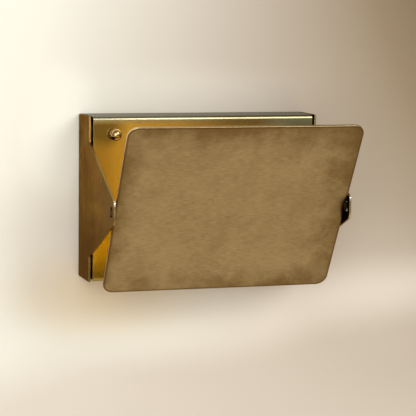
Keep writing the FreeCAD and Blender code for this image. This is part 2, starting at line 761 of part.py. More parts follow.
def lamp_lead(from_z, side):
    """A lead from a pole of the block, out through the cover and into the lampholder."""
    beside = side * lead_pair_spacing / 2
    at_terminal = side * holder_terminal_z
    block_face = block_length / 2
    grip = insert_back_x + holder_terminal_length - holder_terminal_grip
    behind_nipple = holder_seat_x - nipple_in_cap
    route = [Vector(0, pole_y, from_z),
             Vector(block_face * 2.4, pole_y, from_z),
             Vector((block_face * 2.4 + lead_exit_x) / 2, -lead_run_depth, beside),
             Vector(lead_exit_x, -lead_run_depth, beside),
             Vector(lead_exit_x, -lamp_depth, beside),
             Vector(behind_nipple, -lamp_depth, beside),
             Vector((behind_nipple + insert_back_x + holder_terminal_length) / 2, -lamp_depth, at_terminal),
             Vector(grip, -lamp_depth, at_terminal)]
    return lead_tube(route, lead_radius)


def live_lead():
    return lamp_lead(live_z, 1)


def neutral_lead():
    return lamp_lead(neutral_z, -1)


def earth_lead():
    barrel_mouth = earth_x - lug_barrel_start - lug_barrel_length
    inside_barrel = earth_x - lug_barrel_start - lug_thickness
    block_face = block_length / 2
    route = [Vector(0, pole_y, earth_z),
             Vector(block_face + (barrel_mouth - block_face) / 4, pole_y, earth_z),
             Vector(barrel_mouth - (barrel_mouth - block_face) / 4, lug_axis_y, earth_z),
             Vector(inside_barrel, lug_axis_y, earth_z)]
    return lead_tube(route, lead_radius)


# ---------------- write every piece ----------------

pieces = {
    "wing_bracket": wing_bracket,
    "inlet_bush": inlet_bush,
    "cover": cover,
    "cover_studs": cover_studs,
    "ball_nuts": ball_nuts,
    "flap": flap,
    "lampholder_bracket": lampholder_bracket,
    "bracket_screws": bracket_screws,
    "bracket_nuts": bracket_nuts,
    "threaded_nipple": threaded_nipple,
    "nipple_nut": nipple_nut,
    "holder_cap": holder_cap,
    "holder_shell": holder_shell,
    "holder_insert": holder_insert,
    "holder_terminals": holder_terminals,
    "holder_terminal_screws": holder_terminal_screws,
    "thread_sleeve": thread_sleeve,
    "centre_contact": centre_contact,
    "bulb_glass": bulb_glass,
    "bulb_cap": bulb_cap,
    "bulb_insulator": bulb_insulator,
    "bulb_tip": bulb_tip,
    "bulb_stem": bulb_stem,
    "filament": filament,
    "terminal_block": terminal_block,
    "terminal_tubes": terminal_tubes,
    "terminal_screws": terminal_screws,
    "block_screw": block_screw,
    "earth_stud": earth_stud,
    "earth_lug": earth_lug,
    "earth_washer": earth_washer,
    "earth_nut": earth_nut,
    "lead_bush": lead_bush,
    "live_lead": live_lead,
    "neutral_lead": neutral_lead,
    "earth_lead": earth_lead,
}

os.makedirs("parts", exist_ok=True)
for name, make in pieces.items():
    shape = make()
    print(name, len(shape.Solids), "solids", round(shape.Volume, 2), "mm3", "valid" if shape.isValid() else "INVALID")
    shape.exportStep(f"parts/{name}.step")
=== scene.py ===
import json
import math
import bmesh
import bpy
import numpy as np
from mathutils import Matrix, Vector

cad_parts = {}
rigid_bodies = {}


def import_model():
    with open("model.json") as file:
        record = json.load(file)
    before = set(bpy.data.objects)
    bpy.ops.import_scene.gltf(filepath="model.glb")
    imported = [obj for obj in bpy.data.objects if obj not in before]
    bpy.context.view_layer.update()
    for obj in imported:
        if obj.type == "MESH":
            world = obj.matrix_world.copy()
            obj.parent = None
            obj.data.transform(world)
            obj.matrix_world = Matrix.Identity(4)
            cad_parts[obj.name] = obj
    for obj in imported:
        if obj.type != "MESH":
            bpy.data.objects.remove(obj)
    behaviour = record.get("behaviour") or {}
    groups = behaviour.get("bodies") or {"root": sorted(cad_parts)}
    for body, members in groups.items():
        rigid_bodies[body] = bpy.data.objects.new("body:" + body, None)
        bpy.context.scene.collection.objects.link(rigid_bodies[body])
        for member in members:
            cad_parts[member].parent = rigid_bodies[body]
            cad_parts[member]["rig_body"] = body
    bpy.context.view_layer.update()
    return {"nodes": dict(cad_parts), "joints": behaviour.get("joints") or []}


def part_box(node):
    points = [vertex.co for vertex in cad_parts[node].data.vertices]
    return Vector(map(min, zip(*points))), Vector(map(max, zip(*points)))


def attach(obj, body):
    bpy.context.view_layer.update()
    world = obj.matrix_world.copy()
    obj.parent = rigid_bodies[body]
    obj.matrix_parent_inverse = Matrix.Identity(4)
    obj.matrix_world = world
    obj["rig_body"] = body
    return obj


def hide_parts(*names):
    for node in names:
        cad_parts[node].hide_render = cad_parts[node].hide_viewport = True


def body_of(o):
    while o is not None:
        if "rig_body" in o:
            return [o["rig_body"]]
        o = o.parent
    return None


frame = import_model()
scene = bpy.context.scene

# ---------------------------------------------------------------------------
# Camera. The light is seen a little from the left and from above, through a
# long lens, so its edges stay nearly parallel.
# ---------------------------------------------------------------------------
view_azimuth, view_elevation, view_roll = (math.radians(a) for a in (17.74, 7.02, 0.73))
view_distance = 1.29565
view_target = Vector((0.00355, -0.0335, -0.00854))
picture_px, lens_px, sensor_mm = 416, 1700, 36.0

back = Vector((-math.sin(view_azimuth) * math.cos(view_elevation),
               -math.cos(view_azimuth) * math.cos(view_elevation), math.sin(view_elevation)))
right = (-back).cross(Vector((0, 0, 1))).normalized()
up = right.cross(-back)
rolled_right = right * math.cos(view_roll) + up * math.sin(view_roll)
rolled_up = up * math.cos(view_roll) - right * math.sin(view_roll)
camera = bpy.data.objects.new("camera", bpy.data.cameras.new("camera"))
scene.collection.objects.link(camera)
camera.data.sensor_width = sensor_mm
camera.data.lens = sensor_mm * lens_px / picture_px
camera.data.clip_start, camera.data.clip_end = 0.05, 30.0
turn = Matrix((rolled_right, rolled_up, back)).transposed().to_4x4()
camera.matrix_world = Matrix.Translation(view_target + back * view_distance) @ turn
scene.camera = camera

# ---------------------------------------------------------------------------
# Studio. A pale warm wall behind the light, its colour painted with light and
# shade, a pale floor well below it, soft lamps, and a plain world.
# ---------------------------------------------------------------------------
scene.view_settings.view_transform = "Standard"


def new_tree(name):
    """An empty node material, its tree and its output node."""
    material = bpy.data.materials.new(name)
    material.use_nodes = True
    tree = material.node_tree
    tree.nodes.clear()
    return material, tree, tree.nodes.new("ShaderNodeOutputMaterial")


def add(tree, kind, links=None, **settings):
    """One shader node. Settings are its properties or input values by name, links its inputs' sockets."""
    made = tree.nodes.new("ShaderNode" + kind)
    for key, value in settings.items():
        if hasattr(made, key):
            setattr(made, key, value)
        else:
            made.inputs[key.replace("_", " ")].default_value = value
    for key, socket in (links or {}).items():
        tree.links.new(socket, made.inputs[key])
    return made


def fill(tree, socket, value):
    """Feeds one input from a socket, or sets it to a plain value."""
    if isinstance(value, bpy.types.NodeSocket):
        tree.links.new(value, socket)
    else:
        socket.default_value = value


def calc(tree, operation, *terms):
    """Arithmetic on sockets and plain numbers. MULTIPLY_ADD is the first times the second, plus the third."""
    made = add(tree, "Math", operation=operation)
    for socket, term in zip(made.inputs, terms):
        fill(tree, socket, term)
    return made.outputs[0]


def span(tree, value, start, end, low=0.0, high=1.0, smooth=False):
    """A value carried from start and end to low and high, and held beyond them."""
    made = add(tree, "MapRange", {"Value": value}, From_Min=start, From_Max=end, To_Min=low, To_Max=high)
    made.interpolation_type = "SMOOTHSTEP" if smooth else "LINEAR"
    return made.outputs["Result"]


def offset(tree, operation, place, vector):
    """A place set against a fixed vector: SUBTRACT and DIVIDE give a vector, the others a number."""
    made = add(tree, "VectorMath", {0: place}, operation=operation)
    made.inputs[1].default_value = vector
    return made.outputs["Vector" if operation in ("SUBTRACT", "DIVIDE") else "Value"]


def mix(tree, factor, low, high, blend="MIX"):
    """High laid over low by a factor: colours, or numbers where high is a number. Each may be a socket."""
    made = add(tree, "Mix", data_type="FLOAT" if isinstance(high, float) else "RGBA", blend_type=blend)
    for key, value in (("Factor", factor), ("A", low), ("B", high)):
        socket = next(i for i in made.inputs if i.name == key and i.enabled)
        fill(tree, socket, (*value, 1) if isinstance(value, tuple) else value)
    return next(o for o in made.outputs if o.enabled)


def ramp(tree, factor, stops):
    """A colour ramp through (place, colour) stops."""
    made = add(tree, "ValToRGB", {"Fac": factor})
    points = made.color_ramp.elements
    while len(points) < len(stops):
        points.new(0.5)
    for point, (place, colour) in zip(points, stops):
        point.position = place
        point.color = (*colour, 1)
    return made.outputs["Color"]


def linear(r, g, b):
    """A colour named by its 0 to 255 screen values, as the linear value that a shader takes."""
    c = np.array((r, g, b)) / 255
    return tuple(float(x) for x in np.where(c <= 0.04045, c / 12.92, ((c + 0.055) / 1.055) ** 2.4))


def flat_sheet(name, corners):
    """A four-cornered sheet, linked to the scene, for the studio's wall and floor."""
    mesh = bpy.data.meshes.new(name)
    mesh.from_pydata(corners, [], [(0, 1, 2, 3)])
    sheet = bpy.data.objects.new(name, mesh)
    scene.collection.objects.link(sheet)
    return sheet


def soft_patch(tree, place, centre, half_size, strength):
    """A round-edged patch on a plane: strength in the middle, falling smoothly to nothing at half_size."""
    scaled = offset(tree, "DIVIDE", offset(tree, "SUBTRACT", place, centre), half_size)
    away = add(tree, "VectorMath", {0: scaled}, operation="LENGTH").outputs["Value"]
    return span(tree, away, 1.0, 0.0, 0.0, strength, smooth=True)


wall_y, floor_z, room_half_width, room_top, room_front = 0.0006, -1.2, 3, 2.4, -4
wall = flat_sheet("wall", [(-room_half_width, wall_y, floor_z), (room_half_width, wall_y, floor_z),
                           (room_half_width, wall_y, room_top), (-room_half_width, wall_y, room_top)])
floor = flat_sheet("floor", [(-room_half_width, room_front, floor_z), (room_half_width, room_front, floor_z),
                             (room_half_width, wall_y, floor_z), (-room_half_width, wall_y, floor_z)])

# Painted shade: the wall darkens from left to right, more so higher up. Below the lamp lies a painted band of
# light
# that rises a little to the right: its middle is where z times (1 + x) is minus band_drop.
wall_paint, tree, out = new_tree("wall_paint")
place = add(tree, "TexCoord").outputs["Object"]
split = add(tree, "SeparateXYZ", {"Vector": place})
across = calc(tree, "DIVIDE", split.outputs["X"], 0.16)
upward = calc(tree, "DIVIDE", split.outputs["Z"], 0.155)
shade = calc(tree, "MULTIPLY_ADD", across, calc(tree, "MULTIPLY_ADD", upward, -0.14, -0.23), 0.60)
band_drop, band_half_width, band_strength = 0.097, 0.045, 0.13
rising = calc(tree, "MULTIPLY_ADD", split.outputs["X"], split.outputs["Z"], split.outputs["Z"])
from_band = calc(tree, "ABSOLUTE", calc(tree, "ADD", rising, band_drop))
glow = span(tree, from_band, band_half_width, 0.0, 0.0, band_strength, smooth=True)
shade = calc(tree, "ADD", shade, glow)
# painted light: soft brighter patches laid on the wall
painted_light_patches = (
    ((0.0, 0, -0.119), (0.12, 1, 0.030), 0.085),
    ((-0.01, 0, 0.078), (0.14, 1, 0.030), 0.075),
    ((0.18, 0, -0.080), (0.09, 1, 0.080), 0.055),
    ((-0.165, 0, -0.065), (0.05, 1, 0.060), 0.080),
    ((-0.102, 0, 0.045), (0.040, 1, 0.070), 0.20),
)
for centre, half_size, strength in painted_light_patches:
    shade = calc(tree, "ADD", shade, soft_patch(tree, place, centre, half_size, strength))
tint = ramp(tree, shade, [(0.10, (0.18, 0.13, 0.072)), (0.25, (0.31, 0.235, 0.148)),
                          (0.45, (0.53, 0.46, 0.37)), (0.65, (0.78, 0.72, 0.62)),
                          (0.85, (0.96, 0.95, 0.84)), (1.0, (1.0, 1.0, 0.90))])
# painted shade: a warm, darker patch below and left of the lamp
warm = soft_patch(tree, place, (-0.072, 0, -0.078), (0.10, 1, 0.048), 1.0)
tint = mix(tree, warm, tint, (0.97, 0.86, 0.70), blend="MULTIPLY")
paint = add(tree, "BsdfPrincipled", {"Base Color": tint}, Roughness=0.9)
tree.links.new(paint.outputs["BSDF"], out.inputs["Surface"])
wall.data.materials.append(wall_paint)

floor_paint, tree, out = new_tree("floor_paint")
place = add(tree, "TexCoord").outputs["Object"]
cloud = add(tree, "TexNoise", {"Vector": place}, Scale=2.0, Detail=3.0).outputs["Fac"]
tint = ramp(tree, cloud, [(0.3, linear(214, 200, 182)), (0.7, linear(226, 214, 198))])
paint = add(tree, "BsdfPrincipled", {"Base Color": tint}, Roughness=0.8)
tree.links.new(paint.outputs["BSDF"], out.inputs["Surface"])
floor.data.materials.append(floor_paint)


def soft_lamp(name, place, aim, width, height, watts, colour):
    """A rectangular lamp at a place, turned to face a point."""
    lamp = bpy.data.lights.new(name, "AREA")
    lamp.shape, lamp.size, lamp.size_y = "RECTANGLE", width, height
    lamp.energy, lamp.color = watts, colour
    holder = bpy.data.objects.new(name, lamp)
    holder.location = place
    holder.rotation_euler = (Vector(aim) - Vector(place)).to_track_quat("-Z", "Y").to_euler()
    scene.collection.objects.link(holder)


soft_lamp("window_right", (1.07, -1.53, 1.17), (0, 0, 0), 1.3, 1.3, 18, (1.0, 0.97, 0.92))
soft_lamp("front_fill", (-0.75, -2.80, 0.50), (0, 0, 0), 2.0, 2.0, 46, (1.0, 0.97, 0.93))
soft_lamp("floor_light", (0.30, -0.90, -0.20), (0.30, -0.90, -1.2), 1.2, 1.0, 7, (1.0, 0.96, 0.90))

world = bpy.data.worlds.new("studio")
scene.world = world
world.use_nodes = True
world.node_tree.nodes["Background"].inputs["Color"].default_value = (0.94, 0.95, 1.0, 1)
world.node_tree.nodes["Background"].inputs["Strength"].default_value = 0.30

# ---------------------------------------------------------------------------
# Wing bracket. One sheet of brass, folded to a back plate and two side panels
# whose wings carry the flap. Dark with age, streaked along the sheet, bright
# where the cut edges rub, nearly black with painted shade on the wings' inner
# faces and in the slots, with a painted highlight on each tip's upper corner.
# ---------------------------------------------------------------------------
arris_width = 0.0002
arris_least_angle = math.radians(35)


def soft_edged(node):
    """A copy of a rigid node with its doubles merged, its flats made whole and its arrises rounded.
    Normals lean to the larger face at each corner, so flats stay flat beside a fold."""
    source = frame["nodes"][node]
    mesh = source.data.copy()
    mesh.name = node + "_rounded"
    piece = bpy.data.objects.new(node + "_rounded", mesh)
    scene.collection.objects.link(piece)
    shape = bmesh.new()
    shape.from_mesh(mesh)
    bmesh.ops.remove_doubles(shape, verts=shape.verts, dist=1e-6)
    bmesh.ops.dissolve_limit(shape, angle_limit=math.radians(0.4), verts=shape.verts, edges=shape.edges)
    shape.to_mesh(mesh)
    shape.free()
    mesh.materials.clear()
    mesh.polygons.foreach_set("use_smooth", np.ones(len(mesh.polygons), bool))
    bevel = piece.modifiers.new("arris", "BEVEL")
    bevel.width, bevel.segments, bevel.limit_method = arris_width, 2, "ANGLE"
    bevel.angle_limit = arris_least_angle
    even = piece.modifiers.new("even_flats", "WEIGHTED_NORMAL")
    even.mode, even.weight, even.keep_sharp = "FACE_AREA", 100, True
    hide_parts(node)
    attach(piece, body_of(source)[0])
    return piece


def new_group(name, inputs, outputs):
    """A shader group with named inputs, whose defaults are numbers, places or colours, and named outputs."""
    group = bpy.data.node_groups.new(name, "ShaderNodeTree")
    for key, value in inputs.items():
        size = 1 if isinstance(value, float) else len(value)
        kind = {1: "Float", 3: "Vector", 4: "Color"}[size]
        group.interface.new_socket(key, in_out="INPUT", socket_type="NodeSocket" + kind).default_value = value
    for key, kind in outputs.items():
        group.interface.new_socket(key, in_out="OUTPUT", socket_type="NodeSocket" + kind)
    return group, group.nodes.new("NodeGroupInput").outputs, group.nodes.new("NodeGroupOutput").inputs


def grouped(tree, group, links=None, **values):
    """A shader group placed in a tree: its outputs by name."""
    made = tree.nodes.new("ShaderNodeGroup")
    made.node_tree = group
    for key, value in values.items():
        made.inputs[key.replace("_", " ")].default_value = value
    for key, socket in (links or {}).items():
        tree.links.new(socket, made.inputs[key])
    return made.outputs


# Worn arris: how far the true normal departs from one rounded over a small radius, as a mask.
worn_arris, given, gives = new_group("worn_arris", {"Radius": 0.0004, "Reach": 0.15}, {"Mask": "Float"})
rounded = add(worn_arris, "Bevel", {"Radius": given["Radius"]}, samples=6).outputs["Normal"]
true_normal = add(worn_arris, "NewGeometry").outputs["Normal"]
agreement = add(worn_arris, "VectorMath", {0: rounded, 1: true_normal},
                operation="DOT_PRODUCT").outputs["Value"]
departure = calc(worn_arris, "SUBTRACT", 1.0, agreement)
mask = add(worn_arris, "MapRange", {"Value": departure, "From Max": given["Reach"]}).outputs["Result"]
worn_arris.links.new(mask, gives["Mask"])

# Aged brass: clouds of patina, a finer grain, brushing along one direction of the pattern and small dark
# specks. Bright is the bare metal and Dark the patina.
aged, given, gives = new_group(
    "aged_brass_surface",
    {"Pattern": (0.0, 0.0, 0.0), "Brushing": (4.0, 60.0, 60.0), "Bright": (0.5, 0.4, 0.2, 1.0),
     "Dark": (0.2, 0.12, 0.05, 1.0), "Amount": 0.5, "Cloud Size": 30.0, "Streaks": 0.55,
     "Polish": 0.3, "Spread": 0.12},
    {"Color": "Color", "Roughness": "Float", "Height": "Float"})
pattern = given["Pattern"]
cloud = add(aged, "TexNoise", {"Vector": pattern, "Scale": given["Cloud Size"]},
            Detail=5.0, Roughness=0.62, Distortion=0.4).outputs["Fac"]
grain = add(aged, "TexNoise", {"Vector": pattern}, Scale=210.0, Detail=3.0, Roughness=0.7).outputs["Fac"]
stretched = add(aged, "VectorMath", {0: pattern, 1: given["Brushing"]}, operation="MULTIPLY").outputs[0]
brush = add(aged, "TexNoise", {"Vector": stretched}, Scale=14.0, Detail=4.0, Roughness=0.75).outputs["Fac"]
from_speck = add(aged, "TexVoronoi", {"Vector": pattern}, Scale=95.0, Randomness=1.0).outputs["Distance"]
speck = span(aged, from_speck, 0.05, 0.16, 0.35, 0.0)
patina = calc(aged, "ADD", span(aged, cloud, 0.32, 0.68), calc(aged, "MULTIPLY_ADD", grain, 0.5, -0.25))
patina = calc(aged, "MULTIPLY_ADD", calc(aged, "SUBTRACT", brush, 0.5), given["Streaks"], patina)
patina = calc(aged, "MULTIPLY", patina, given["Amount"])
patina.node.use_clamp = True
tone = mix(aged, patina, given["Bright"], given["Dark"])
aged.links.new(mix(aged, speck, tone, given["Dark"]), gives["Color"])
aged.links.new(calc(aged, "MULTIPLY_ADD", patina, given["Spread"], given["Polish"]), gives["Roughness"])
aged.links.new(calc(aged, "MULTIPLY_ADD", cloud, 0.6, brush), gives["Height"])


def metal_finish(tree, out, colour, rough, height, relief, strength, **plain):
    """A metal from its colour and roughness, with a relief of some depth; plain values go on the shader."""
    bumped = add(tree, "Bump", {"Height": height}, Distance=relief, Strength=strength).outputs["Normal"]
    metal = add(tree, "BsdfPrincipled", {"Base Color": colour, "Roughness": rough, "Normal": bumped},
                Metallic=1.0, **plain)
    tree.links.new(metal.outputs["BSDF"], out.inputs["Surface"])


bracket = soft_edged("wing_bracket")
bracket_low, bracket_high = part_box("wing_bracket")
pivot = Vector(frame["joints"][0]["pos_m"])
sheet_inner_x = bracket_high.x - 0.0015
tip_corner = Vector((0, bracket_low.y, 0.0064))

bracket_brass, tree, out = new_tree("bracket_brass")
place = add(tree, "TexCoord").outputs["Object"]
turned = add(tree, "Mapping", {"Vector": place}, Rotation=(0.3, 0, 0)).outputs["Vector"]
surface = grouped(tree, aged, {"Pattern": turned}, Brushing=(30.0, 30.0, 3.0),
                  Bright=(0.44, 0.30, 0.135, 1), Dark=(0.15, 0.088, 0.034, 1),
                  Amount=0.9, Cloud_Size=22.0, Streaks=1.6, Polish=0.36, Spread=0.16)
split = add(tree, "SeparateXYZ", {"Vector": place})
normal = add(tree, "SeparateXYZ", {"Vector": add(tree, "NewGeometry").outputs["True Normal"]})
in_profile = add(tree, "CombineXYZ", {"Y": split.outputs["Y"], "Z": split.outputs["Z"]}).outputs[0]
# x times the normal's x: near 0.09 on the panels' outer faces, -0.09 on the inner ones, 0 on cut edges
outward = calc(tree, "MULTIPLY", split.outputs["X"], normal.outputs["X"])
# painted shade: the panels' inner faces are turned near black
inner = span(tree, outward, -0.02, -0.05)
in_panel = span(tree, calc(tree, "ABSOLUTE", split.outputs["X"]), sheet_inner_x - 0.0002, sheet_inner_x)
cut = calc(tree, "MULTIPLY", span(tree, calc(tree, "ABSOLUTE", outward), 0.045, 0.03), in_panel)
worn = calc(tree, "MAXIMUM", grouped(tree, worn_arris)["Mask"], cut)
# the cut edges that face the room: golden high up, browner at the wing tips and below, brightest on the right
high_up = span(tree, split.outputs["Z"], 0.010, 0.025)
on_right = span(tree, split.outputs["X"], -0.01, 0.01)
front_tone = mix(tree, high_up, (0.27, 0.175, 0.060), (0.47, 0.32, 0.12))
front_tone = mix(tree, on_right, front_tone, (0.58, 0.42, 0.19))
facing_room = span(tree, normal.outputs["Y"], -0.6, -0.95)
cut_tone = mix(tree, facing_room, (0.36, 0.26, 0.12), front_tone)
# the outer faces: greyer towards the tips, darker below
to_tip = span(tree, split.outputs["Y"], -0.045, -0.090, 0.0, 0.6)
low_slope = span(tree, split.outputs["Z"], -0.006, -0.028, 0.0, 0.55)
skin = mix(tree, to_tip, surface["Color"], (0.235, 0.190, 0.128))
skin = mix(tree, low_slope, skin, (0.160, 0.116, 0.050))
colour = mix(tree, worn, skin, cut_tone)
# the upper corner of each tip has a painted highlight, and painted shade darkens the slots
at_tip = span(tree, offset(tree, "DISTANCE", in_profile, tip_corner), 0.0030, 0.0018)
# painted highlight: near white on the upper corner of each tip's cut edge
colour = mix(tree, calc(tree, "MULTIPLY", at_tip, cut), colour, (0.96, 0.84, 0.62))
at_slot = span(tree, offset(tree, "DISTANCE", in_profile, pivot), 0.0056, 0.0046)
# painted shade, near black, on the inner faces and in the slots
dark = calc(tree, "MAXIMUM", inner, calc(tree, "MULTIPLY", at_slot, cut))
colour = mix(tree, dark, colour, (0.016, 0.010, 0.006))
rough = mix(tree, dark, mix(tree, worn, surface["Roughness"], 0.26), 0.55)
metal_finish(tree, out, colour, rough, surface["Height"], 0.0004, 0.5, Specular_Tint=(0.35, 0.22, 0.10, 1))
bracket.data.materials.append(bracket_brass)

# ---------------------------------------------------------------------------
# Cover. Brass folded to a C and kept glossier than the bracket. Its top flange
# has gone grey and rough, and it is darker round the upper nuts and at its foot.
# ---------------------------------------------------------------------------
cover = soft_edged("cover")
dark_patch_x, dark_patch_z = 0.079, 0.0535

cover_brass, tree, out = new_tree("cover_brass")
place = add(tree, "TexCoord").outputs["Object"]
surface = grouped(tree, aged, {"Pattern": place}, Brushing=(3.0, 40.0, 40.0),
                  Bright=(0.93, 0.70, 0.19, 1), Dark=(0.62, 0.42, 0.085, 1),
                  Amount=0.45, Cloud_Size=32.0, Streaks=0.5, Polish=0.20, Spread=0.10)
split = add(tree, "SeparateXYZ", {"Vector": place})
far_x = calc(tree, "ABSOLUTE", split.outputs["X"])
far_z = calc(tree, "ABSOLUTE", split.outputs["Z"])
near_end = span(tree, far_x, 0.060, 0.084, 0.0, 0.80, smooth=True)
colour = mix(tree, near_end, surface["Color"], (0.42, 0.28, 0.065))
# darker round each upper nut, with a wavering edge
in_quarter = add(tree, "CombineXYZ", {"X": far_x, "Z": far_z}).outputs[0]
from_dark_patch = offset(tree, "DISTANCE", in_quarter, (dark_patch_x, 0.0, dark_patch_z))
waver = add(tree, "TexNoise", {"Vector": place}, Scale=70.0, Detail=3.0).outputs["Fac"]
dark_patch = span(tree, calc(tree, "MULTIPLY_ADD", waver, 0.010, from_dark_patch), 0.010, 0.024, 0.8, 0.0, smooth=True)
dark_patch = calc(tree, "MULTIPLY", dark_patch, span(tree, split.outputs["Z"], -0.002, 0.002))
colour = mix(tree, dark_patch, colour, (0.19, 0.155, 0.060))
# paler by the upper fold, yellower in the lower half, brown at the foot, olive below the fold on the right
colour = mix(tree, span(tree, split.outputs["Z"], 0.0555, 0.0590, 0.0, 0.85), colour, (0.60, 0.57, 0.38))
colour = mix(tree, span(tree, split.outputs["Z"], -0.012, -0.026, 0.0, 0.9), colour, (0.62, 0.49, 0.055))
colour = mix(tree, span(tree, split.outputs["Z"], -0.0440, -0.0560, 0.0, 0.75), colour, (0.34, 0.22, 0.035))
below_fold = calc(tree, "MULTIPLY", span(tree, split.outputs["Z"], 0.0500, 0.0560, 0.0, 0.85),
                  span(tree, split.outputs["X"], -0.020, 0.025))
colour = mix(tree, below_fold, colour, (0.37, 0.33, 0.17))
# by the way that the surface faces: painted shade on the lower fold, a painted dark reflection where the
# upper fold starts, grey on top
facing_up = add(tree, "SeparateXYZ", {"Vector": add(tree, "NewGeometry").outputs["Normal"]}).outputs["Z"]
# painted shade on the downward-facing lower fold
colour = mix(tree, span(tree, facing_up, -0.15, -0.60, 0.0, 0.8), colour, (0.30, 0.19, 0.05))
# painted reflection: a dark band where the upper fold starts
colour = mix(tree, span(tree, facing_up, 0.56, 0.74, 0.0, 0.85), colour, (0.14, 0.11, 0.045))
on_top = span(tree, facing_up, 0.93, 0.995)
speckle = add(tree, "TexNoise", {"Vector": place}, Scale=420.0, Detail=4.0, Roughness=0.7).outputs["Fac"]
grey = ramp(tree, speckle, [(0.3, (0.13, 0.132, 0.11)), (0.7, (0.25, 0.25, 0.21))])
colour = mix(tree, on_top, colour, grey)
colour = mix(tree, grouped(tree, worn_arris)["Mask"], colour, linear(232, 206, 140))
rough = calc(tree, "MULTIPLY_ADD", on_top, 0.32, surface["Roughness"])
metal_finish(tree, out, colour, rough, surface["Height"], 0.0001, 0.25)
cover.data.materials.append(cover_brass)

# ---------------------------------------------------------------------------
# Flap. A flat brass plate with round corners, brushed along its length and
# darkened by hands towards its rim. A tongue on each side sits in a wing.
# ---------------------------------------------------------------------------
lean = math.radians(29.7)
flap_thickness = 0.002
flap_radius = 0.008
flap_drop = 0.0004
flap_height = 0.1454
flap_width = 0.1752
rim_round = 0.0004
tongue_height = 0.007
tongue_end_x = 0.0897
tongue_length = 0.0035
tongue_radius = 0.0004
tongue_round = 0.0002


def rounded_outline(half_x, half_z, radius, corner_steps, side_steps):
    """A rectangle with quarter-circle corners, as points in turn: each corner is its centre plus radius
    times (cosine, sine), and each side is divided evenly."""
    points = []
    signs = ((1, 1), (-1, 1), (-1, -1), (1, -1))
    for quarter, (sign, following) in enumerate(zip(signs, signs[1:] + signs[:1])):
        angle = np.linspace(0, np.pi / 2, corner_steps) + quarter * np.pi / 2
        centre = np.array(sign) * (half_x - radius, half_z - radius)
        points.append(centre + radius * np.stack((np.cos(angle), np.sin(angle)), 1))
        next_centre = np.array(following) * (half_x - radius, half_z - radius)
        end = next_centre + radius * np.array((np.cos(angle[-1]), np.sin(angle[-1])))
        along = np.linspace(0, 1, side_steps + 2)[1:-1, None]
        points.append(points[-1][-1] + along * (end - points[-1][-1]))
    return np.concatenate(points)


def plate_mesh(outline, half_thickness, rounding, rings):
    """An upright plate: outer rings follow the outline round a quarter-circle rim, inner rings shrink
    towards the middle in even steps, front and back alike. Rows are rings and columns points."""
    turn = np.linspace(0, np.pi / 2, 5)
    extent = np.abs(outline).max(0)
    rim_rows = [outline * (1 - inset / extent) for inset in rounding * (1 - np.sin(turn))]
    rim_depths = list(half_thickness - rounding * (1 - np.cos(turn)))
    face_rows = [rim_rows[0] * share for share in np.linspace(0, 1, rings + 1)[1:-1]]
    face_depths = [half_thickness] * len(face_rows)
    grid = np.array(face_rows + rim_rows + rim_rows[::-1] + face_rows[::-1])
    depth = np.array(face_depths + rim_depths + [-d for d in rim_depths[::-1] + face_depths])
    count = len(outline)
    points = np.stack((grid[..., 0].ravel(), -np.repeat(depth, count), grid[..., 1].ravel()), 1)
    row, column = np.meshgrid(np.arange(len(grid) - 1), np.arange(count), indexing="ij")
    after = (column + 1) % count
    quads = np.stack(((row + 1) * count + column, (row + 1) * count + after,
                      row * count + after, row * count + column), -1).reshape(-1, 4)
    front_middle, back_middle, last_row = len(points), len(points) + 1, (len(grid) - 1) * count
    points = np.vstack((points, (0, -half_thickness, 0), (0, half_thickness, 0)))
    around = range(count)
    fans = [(front_middle, a, (a + 1) % count) for a in around]
    fans += [(back_middle, last_row + (a + 1) % count, last_row + a) for a in around]
    return points, [tuple(quad) for quad in quads.tolist()] + fans


def leaned(points):
    """Points of the upright plate, turned about the line through the tongues and set on the pivot."""
    c, s = math.cos(lean), math.sin(lean)
    x, y, z = points.T
    return np.stack((x, c * y - s * z + pivot.y, s * y + c * z + pivot.z), 1)


def put_mesh(name, points, faces, body, material, replaced):
    """A smooth mesh object at the origin that rides on a body and stands for one node."""
    mesh = bpy.data.meshes.new(name)
    mesh.from_pydata(points.tolist(), [], faces)
    mesh.polygons.foreach_set("use_smooth", np.ones(len(mesh.polygons), bool))
    mesh.materials.append(material)
    piece = bpy.data.objects.new(name, mesh)
    scene.collection.objects.link(piece)
    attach(piece, body)
    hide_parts(replaced)
    return piece


def hand_flattened(x, z):
    """How far the hand-flattened plate stands out at a place: two crossed sine waves."""
    return 0.00010 * (np.sin(x * 31 + 0.6) * np.cos(z * 27) + 0.6 * np.sin(z * 52 + x * 22))


outline = rounded_outline(flap_width / 2, flap_height / 2, flap_radius, 12, 24)
plate, faces = plate_mesh(outline, flap_thickness / 2, rim_round, 14)
past_corner = np.abs(plate[:, [0, 2]]) - (np.array((flap_width, flap_height)) / 2 - flap_radius)
to_edge = flap_radius - np.hypot(*np.maximum(past_corner, 0).T) - np.minimum(past_corner.max(1), 0)
parts, edges, flats = [plate.copy()], [to_edge], [plate]
parts[0][:, 2] -= flap_drop
parts[0][:, 1] += hand_flattened(parts[0][:, 0], parts[0][:, 2])
tongue_outline = rounded_outline(tongue_length / 2, tongue_height / 2, tongue_radius, 3, 2)
for side in (-1, 1):
    tongue, tongue_faces = plate_mesh(tongue_outline, flap_thickness / 2, tongue_round, 3)
    tongue[:, 0] += side * (tongue_end_x - tongue_length / 2)
    base = sum(len(part) for part in parts)
    faces += [tuple(i + base for i in face) for face in tongue_faces]
    edges.append(np.full(len(tongue), 0.004))
    flats.append(tongue.copy())
    tongue[:, 1] = tongue[:, 1] * 0.98 + hand_flattened(side * flap_width / 2, tongue[:, 2])
    parts.append(tongue)

